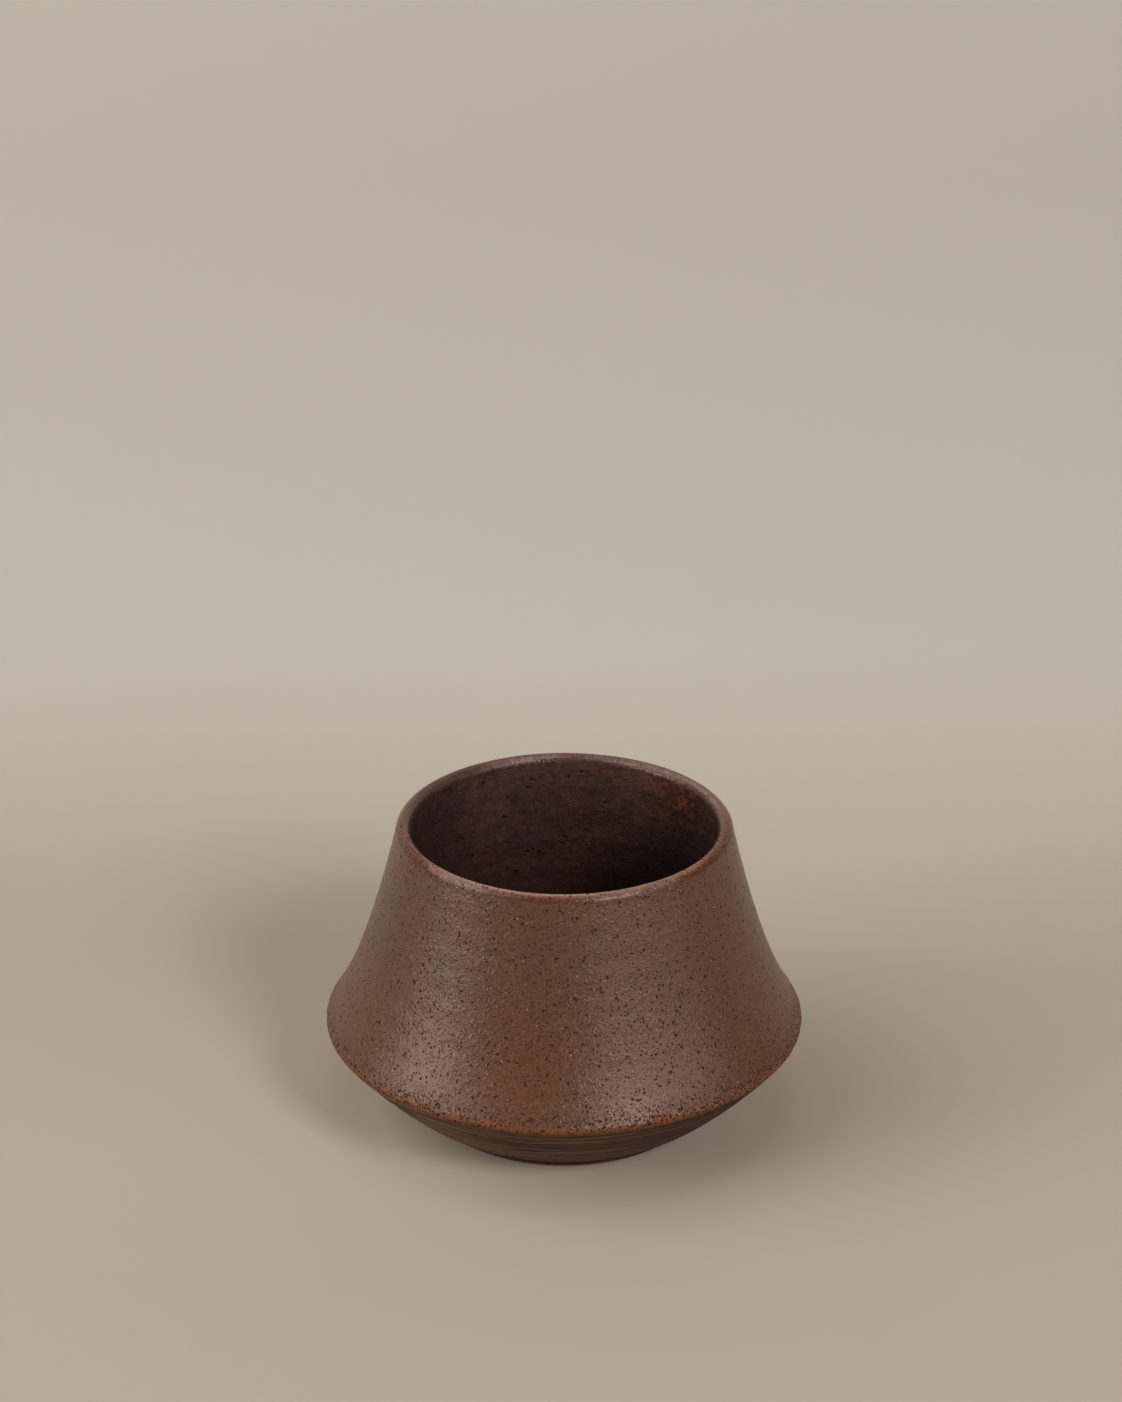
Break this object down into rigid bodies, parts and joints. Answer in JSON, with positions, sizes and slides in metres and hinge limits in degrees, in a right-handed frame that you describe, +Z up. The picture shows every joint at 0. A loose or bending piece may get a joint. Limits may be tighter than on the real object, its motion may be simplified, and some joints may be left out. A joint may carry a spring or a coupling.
{
  "type": "cup",
  "caption": "Handle-less stoneware cup with a flared wall, a sharp shoulder, a turned bowl underneath and a low foot ring; holds a drink.",
  "frame": {"origin": "centre of the foot ring's underside, on the cup's axis", "axes": "+Z up along the axis that the cup is turned about; -Y faces the camera of the picture"},
  "size_m": [0.1048, 0.1048, 0.0684],
  "materials": {
    "bare_clay": "turned, bare",
    "fired_slip": "matt",
    "satin_glaze": "satin, speckled",
    "liner_glaze": "satin"
  },
  "bodies": {
    "root": {"foot_ring": "bare_clay", "foot_slip": "fired_slip", "base_bowl": "bare_clay", "shoulder_slip": "fired_slip", "upper_wall": "bare_clay", "outer_glaze": "satin_glaze", "liner_glaze": "liner_glaze"}
  },
  "joints": []
}
